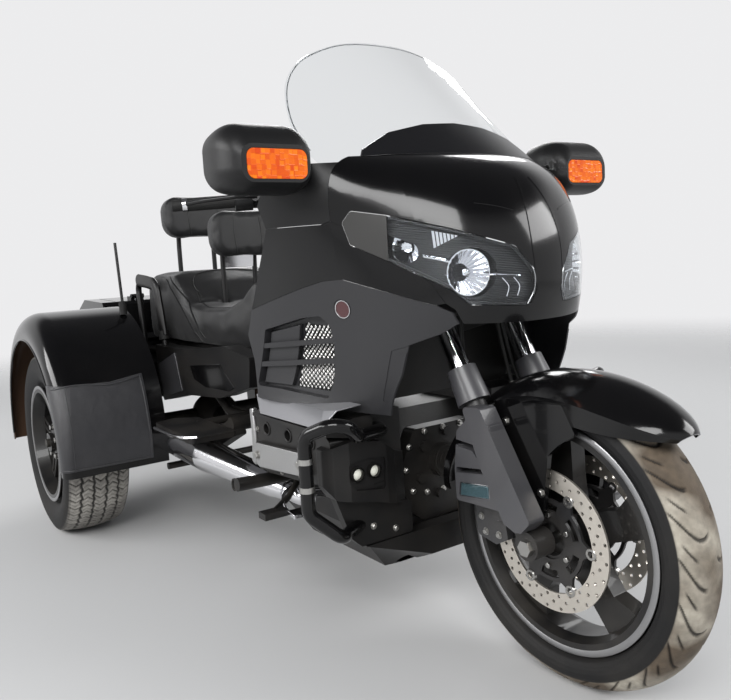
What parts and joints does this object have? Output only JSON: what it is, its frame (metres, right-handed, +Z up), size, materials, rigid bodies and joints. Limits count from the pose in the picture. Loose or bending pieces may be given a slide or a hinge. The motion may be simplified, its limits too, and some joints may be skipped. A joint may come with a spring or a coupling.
{
  "type": "motorized trike",
  "caption": "Touring trike with a faired motorcycle front, a clear screen, a two-place saddle and a covered two-wheel rear axle with a trunk.",
  "frame": {"origin": "on the ground under the middle of the vehicle's box", "axes": "+X forward, +Y to the rider's left, +Z up"},
  "size_m": [2.6999, 1.378, 1.443],
  "materials": {
    "gloss_black": "gloss clear-coated black",
    "matte_graphite": "satin graphite",
    "satin_black": "satin black moulded plastic",
    "cover_grey": "satin grey paint",
    "chrome": "polished chrome",
    "steel_dark": "dark steel",
    "frame_alloy": "painted cast alloy",
    "engine_alloy": "cast alloy, dark painted",
    "disc_steel": "ground steel",
    "rim_black": "satin black cast wheel",
    "tyre": "road rubber",
    "rubber": "moulded rubber",
    "clear_lens": "clear lens",
    "screen_clear": "clear acrylic sheet",
    "screen_smoke": "smoked acrylic",
    "amber_lens": "amber lens",
    "red_lens": "red lens",
    "lamp_body": "dark lamp body",
    "mirror_face": "mirror",
    "mesh_metal": "woven mesh",
    "seat_leather": "black leather",
    "vinyl": "black vinyl"
  },
  "bodies": {
    "chassis": {"frame_spars": "frame_alloy", "engine_block": "engine_alloy", "cylinder_head_covers": "engine_alloy", "timing_cover": "engine_alloy", "belly_cowl": "satin_black", "lamp_pods": "satin_black", "fog_lamps": "clear_lens", "engine_guards": "gloss_black", "exhaust_system": "chrome", "foot_rests": "steel_dark", "rear_axle": "steel_dark", "rear_links": "steel_dark", "rear_fender_right": "gloss_black", "rear_fender_left": "gloss_black", "trunk_body": "gloss_black", "nose_cowl": "gloss_black", "headlight_lenses": "clear_lens", "lamp_corners": "cover_grey", "headlight_housings": "lamp_body", "fairing_stay": "frame_alloy", "fairing_shoulders": "satin_black", "side_fairings": "matte_graphite", "radiator_grilles": "mesh_metal", "radiators": "engine_alloy", "windshield": "screen_clear", "windshield_garnish": "screen_smoke", "mirror_housings": "satin_black", "mirror_signals": "amber_lens", "mirror_glass": "mirror_face", "mirror_stays": "satin_black", "dash_panel": "satin_black", "top_shelter": "gloss_black", "seat": "seat_leather", "seat_pan": "satin_black", "backrests": "seat_leather", "seat_rails": "steel_dark", "side_covers": "satin_black", "tail_lamps": "red_lens", "rear_bumper": "satin_black", "fender_bras": "vinyl", "antenna": "rubber"},
    "steering": {"fork_sliders": "satin_black", "fork_tubes": "chrome", "triple_clamps": "frame_alloy", "handlebar": "steel_dark", "grips": "rubber", "hand_controls": "satin_black", "fork_covers": "cover_grey", "front_axle": "steel_dark", "brake_calipers": "engine_alloy", "front_fender": "gloss_black"},
    "front_wheel": {"front_rim": "rim_black", "front_tyre": "tyre", "brake_discs": "disc_steel"},
    "rear_wheel_right": {"rear_rim_right": "rim_black", "rear_tyre_right": "tyre"},
    "rear_wheel_left": {"rear_rim_left": "rim_black", "rear_tyre_left": "tyre"},
    "trunk_cover": {"trunk_lid": "gloss_black"}
  },
  "joints": [
    {"name": "steering_turn", "type": "hinge", "parent": "chassis", "child": "steering", "pos_m": [1.139, 0, 0], "axis": [-0.4871, 0, 0.8733], "range_deg": [-35, 35]},
    {"name": "front_wheel_spin", "type": "hinge", "parent": "steering", "child": "front_wheel", "pos_m": [1.03, 0, 0.32], "axis": [0, 1, 0], "continuous": true},
    {"name": "rear_wheel_right_spin", "type": "hinge", "parent": "chassis", "child": "rear_wheel_right", "pos_m": [-0.78, -0.55, 0.32], "axis": [0, 1, 0], "continuous": true},
    {"name": "rear_wheel_left_spin", "type": "hinge", "parent": "chassis", "child": "rear_wheel_left", "pos_m": [-0.78, 0.55, 0.32], "axis": [0, 1, 0], "continuous": true},
    {"name": "trunk_lid_hinge", "type": "hinge", "parent": "chassis", "child": "trunk_cover", "pos_m": [-1.002, 0, 0.808], "axis": [0, 1, 0], "range_deg": [0, 75]}
  ]
}
